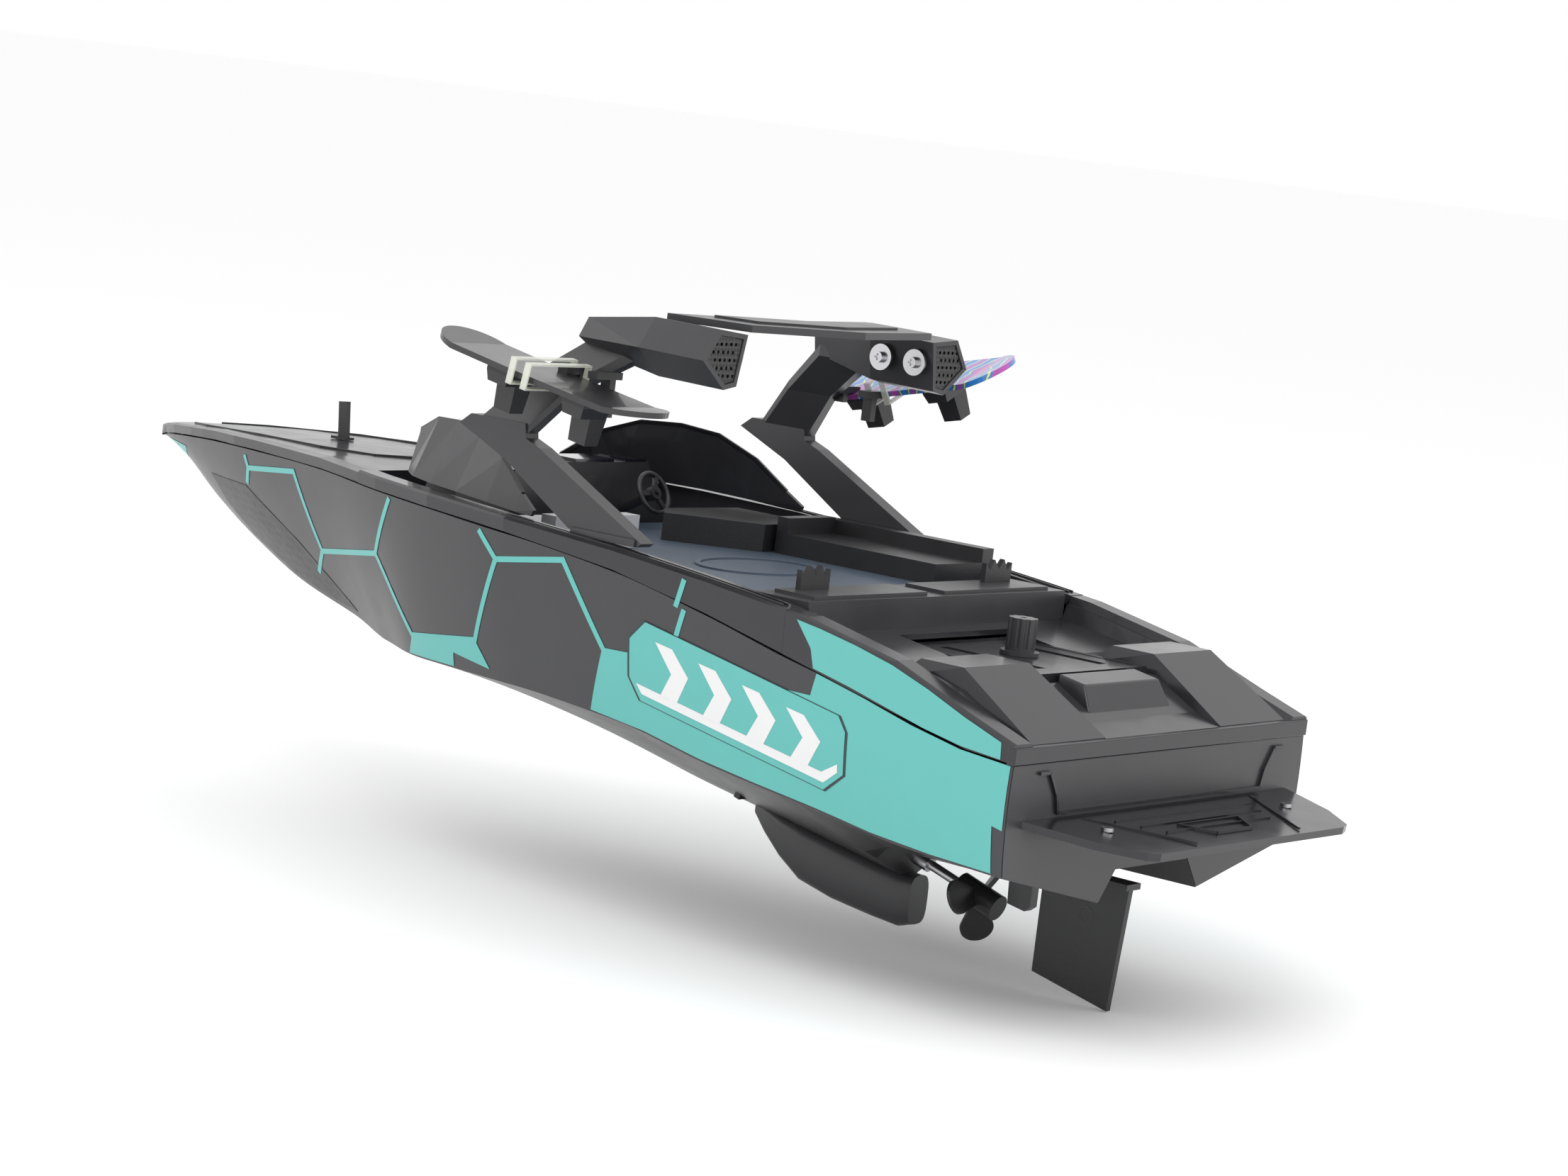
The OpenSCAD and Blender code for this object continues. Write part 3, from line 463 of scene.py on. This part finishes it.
# ---------------------------------------------------------------- deck, platform and rudder detail
def deck_point(x, share, lift=0.15):
    """Point on the foredeck at a share of the half width."""
    return (x, share * gunwale_y(x), deck_top(x) + 1.2 - 0.55 * abs(share) + lift)


def make_deck_detail():
    for side, tag in ((1, "port"), (-1, "starboard")):
        panel = [(282, 0.45), (262, 0.72), (215, 0.72), (168, 0.66), (140, 0.5), (132, 0.25)]
        for i in range(len(panel) - 1):
            a, b = panel[i], panel[i + 1]
            ridge(f"foredeck_line_{tag}_{i}", deck_point(a[0], side * a[1]),
                  deck_point(b[0], side * b[1]), 1.1, "black")
        for row, inset in enumerate((3.4, 6.4)):
            for i in range(10):
                x0, x1 = -146 + 15 * i, -131 + 15 * i
                ridge(f"rail_line_{tag}_{row}_{i}", (x0, side * (gunwale_y(x0) - inset), deck_top(x0) + 1),
                      (x1, side * (gunwale_y(x1) - inset), deck_top(x1) + 1), 0.7, "deck")
    platform = [[(-268, 62), (-306, 38)], [(-268, -62), (-306, -38)], [(-276, 50), (-276, -50)],
                [(-284, 44), (-284, -44)], [(-292, 38), (-292, -38)]]
    for i, ((x0, y0), (x1, y1)) in enumerate(platform):
        ridge(f"platform_line_{i}", (x0, y0, platform_z(x0)), (x1, y1, platform_z(x1)), 0.9, "deck")
    hub = [(-299, 13), (-287, 22), (-287, -22), (-299, -13)]
    for i in range(4):
        (x0, y0), (x1, y1) = hub[i], hub[(i + 1) % 4]
        ridge(f"platform_frame_{i}", (x0, y0, platform_z(x0) + 0.1), (x1, y1, platform_z(x1) + 0.1), 1.2,
              "deck")


def platform_z(x):
    return 86.1 + (x + 264) * 0.094


def make_rudder_mark():
    for side in (1, -1):
        mark = ring_band((-238, side * 1.62, 36), 3.4, 0.5, side)
        add_mesh(f"rudder_mark_{'port' if side > 0 else 'starboard'}", mark[0], mark[1], "deck",
                 body="rudder_assembly")


def ring_band(centre, radius, width, side):
    count = 32
    rings = []
    for r in (radius - width, radius):
        for y in (centre[1] - side * 0.3, centre[1]):
            rings.append([(centre[0] + r * math.cos(2 * math.pi * i / count), y,
                           centre[2] + r * math.sin(2 * math.pi * i / count)) for i in range(count)])
    inner_low, inner_top, outer_low, outer_top = rings
    points, faces = loft([inner_low, inner_top, outer_top, outer_low, inner_low], caps=False)
    return points, faces


# ---------------------------------------------------------------- film graphics on the hull sides
def film(name, outline, look, lift=FILM_LIFT, side=1):
    """A thin film cut to an outline in X and Z that follows the hull side."""
    work = bmesh.new()
    work.faces.new([work.verts.new((x, 0, z)) for x, z in outline])
    low_x, high_x = min(p[0] for p in outline), max(p[0] for p in outline)
    low_z, high_z = min(p[1] for p in outline), max(p[1] for p in outline)
    cuts = [((x, 0, 0), (1, 0, 0)) for x in np.arange(math.ceil(low_x / 6) * 6, high_x, 6)]
    cuts += [((0, 0, z), (0, 0, 1)) for z in np.arange(math.ceil(low_z / 5) * 5, high_z, 5)]
    for place, normal in cuts:
        geom = work.verts[:] + work.edges[:] + work.faces[:]
        bmesh.ops.bisect_plane(work, geom=geom, plane_co=place, plane_no=normal, dist=1e-4)
    points = [(v.co.x, side * (side_y(v.co.x, v.co.z) + lift), v.co.z) for v in work.verts]
    index = {v: i for i, v in enumerate(work.verts)}
    faces = [tuple(index[v] for v in f.verts) for f in work.faces]
    work.free()
    mesh_points = points + [(x, y + side * FILM_THICK, z) for x, y, z in points]
    count = len(points)
    edges = {}
    for f in faces:
        for a, b in zip(f, f[1:] + f[:1]):
            edges.setdefault(frozenset((a, b)), []).append((a, b))
    walls = [(e[0][0], e[0][1], e[0][1] + count, e[0][0] + count) for e in edges.values() if len(e) == 1]
    all_faces = faces + [tuple(i + count for i in f) for f in faces] + walls
    add_mesh(name, mesh_points, all_faces, look, sharp=40)


def stroke(a, b, width=2.4):
    """A straight band between two points on the side."""
    a, b = Vector(a), Vector(b)
    along = (b - a).normalized() * width * 0.35
    across = Vector((-(b - a).y, (b - a).x)).normalized() * width / 2
    return [tuple(a - along + across), tuple(b + along + across), tuple(b + along - across),
            tuple(a - along - across)]


HEX_LINES = [((209, 148), (210, 153)), ((209, 148), (213, 141)), ((209, 148), (165, 153)),
             ((165, 153), (153, 119)), ((153, 119), (163, 108)), ((153, 119), (95, 128)),
             ((95, 128), (79, 154)), ((95, 128), (69, 97)), ((69, 97), (20, 104)),
             ((20, 104), (4, 141)), ((4, 141), (14, 151)), ((4, 141), (-34, 147)),
             ((-34, 147), (-57, 115)), ((-98, 149), (-95, 139)), ((-99, 137), (-96, 126))]
def along(height, start, end, step, gap):
    """Points that follow a height curve of the hull at a gap from it."""
    count = max(1, round(abs(end - start) / step))
    return [(start + (end - start) * i / count, height(start + (end - start) * i / count) + gap)
            for i in range(count + 1)]


LOWER_BLOCK = ([(-57, 115)] + along(chine_z, -49, -259, 30, 0.8) + [(-258, 84), (-263, 83)]
               + along(seam_z, -263, -168, 24, -0.6) + [(-166, 116), (-86, 116)])
UPPER_BLOCK = ([(-164, 134), (-156, 144)] + along(deck_top, -168, -258, 18, -1.5)
               + along(seam_z, -258, -166, 18, 0.7))
FORE_BLOCK = [(69, 97), (20, 104), (12, 93), (37, 95.5)] + along(chine_z, 38, 74, 18, 0.8)
GRAPHIC_EDGE = [(-71, 122), (-79, 130), (-182, 111), (-186, 105), (-186, 88), (-176, 80), (-77, 97),
                (-71, 106)]


def inset_outline(outline, by):
    middle = Vector((sum(p[0] for p in outline), sum(p[1] for p in outline))) / len(outline)
    return [tuple(Vector(p) + (middle - Vector(p)).normalized() * by) for p in outline]


def make_graphics():
    for side, tag in ((1, "port"), (-1, "starboard")):
        for i, (a, b) in enumerate(HEX_LINES):
            film(f"hex_line_{tag}_{i}", stroke(a, b), "teal", side=side)
        film(f"lower_block_{tag}", LOWER_BLOCK, "teal", side=side)
        film(f"upper_block_{tag}", UPPER_BLOCK, "teal", side=side)
        film(f"fore_block_{tag}", FORE_BLOCK, "teal", side=side)
        film(f"bow_block_{tag}", [(300, 149), (278, 148), (284, 142), (293, 145)], "teal", side=side)
        film(f"graphic_edge_{tag}", GRAPHIC_EDGE, "line", lift=EDGE_LIFT, side=side)
        film(f"graphic_field_{tag}", inset_outline(GRAPHIC_EDGE, 1.2), "teal", lift=FIELD_LIFT, side=side)
        film(f"bow_tread_{tag}", [(254, 139), (216, 139), (176, 120), (134, 94.5), (160, 97), (186, 101.5),
                                  (226, 114), (246, 126)], "tread", side=side, lift=TREAD_LIFT)
        make_wave_graphic(side, tag)


def make_wave_graphic(side, tag):
    """Plain slanted chevrons over a base stripe, in place of any lettering."""
    for i in range(4):
        x = -86 - 23 * i
        high, low, mid = 122.5 - 4.4 * i, 99.5 - 3.7 * i, 111 - 4 * i
        chevron = [(x, high), (x - 9, high - 1.4), (x - 18, mid), (x - 12, low), (x - 3, low + 1.4),
                   (x - 9, mid)]
        film(f"graphic_chevron_{tag}_{i}", chevron, "white", lift=PRINT_LIFT, side=side)
    stripe = [(-76, 104), (-79, 100), (-175, 83.4), (-182, 88.6), (-182, 92), (-174, 87.5)]
    film(f"graphic_stripe_{tag}", stripe, "white", lift=PRINT_LIFT, side=side)


def make_skeg():
    """Rounded fairing under the keel that carries the stern tube."""
    stations = [(-68, 42, 1.2), (-76, 35, 4.5), (-86, 27, 6.8), (-98, 19.5, 8), (-115, 15.5, 8.5),
                (-135, 13, 8.5), (-150, 11.6, 8.2), (-156, 13.5, 6.5)]
    around = 24
    rings = []
    for x, low, half in stations:
        high = keel_z(x) + 3
        middle, tall = (low + high) / 2, (high - low) / 2
        ring = []
        for i in range(around):
            a = 2 * math.pi * i / around
            y = half * math.copysign(abs(math.cos(a)) ** 0.6, math.cos(a))
            z = tall * math.copysign(abs(math.sin(a)) ** 0.6, math.sin(a))
            ring.append((x, y, middle + z))
        rings.append(ring)
    points, faces = loft(rings)
    skeg = add_mesh("skeg_fairing", points, faces, "charcoal", sharp=50)
    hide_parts("skeg_housing")


def make_stern_bump():
    """Raised step on the deck's middle, just aft of the hatch."""
    profile = [(-247, 117.5), (-240, 130.3), (-227.5, 132.4), (-227.5, 122)]
    ends = [[(x, side * (30 if z < 125 else 27), z) for x, z in profile] for side in (-1, 1)]
    points, faces = loft(ends)
    add_mesh("stern_bump", points, faces, "deck", bevel=0.9)


def make_windshield_trim():
    """Bead along the curved top edge of each windshield wing."""
    edge = [(101, 45, 171), (91, 59, 183), (74, 67, 190), (56, 74, 191), (38, 79, 189), (20, 85, 180.5),
            (4, 89, 168.5)]
    for side, tag in ((1, "port"), (-1, "starboard")):
        for i in range(len(edge) - 1):
            (x0, y0, z0), (x1, y1, z1) = edge[i], edge[i + 1]
            ridge(f"shield_bead_{tag}_{i}", (x0, side * y0, z0 - 0.4), (x1, side * y1, z1 - 0.4), 1.8,
                  "gloss_black")


make_camera()
make_studio()
dress_cad_nodes()
make_hull()
make_graphics()
make_deck_detail()
make_rudder_mark()
make_skeg()
make_stern_bump()
make_windshield_trim()
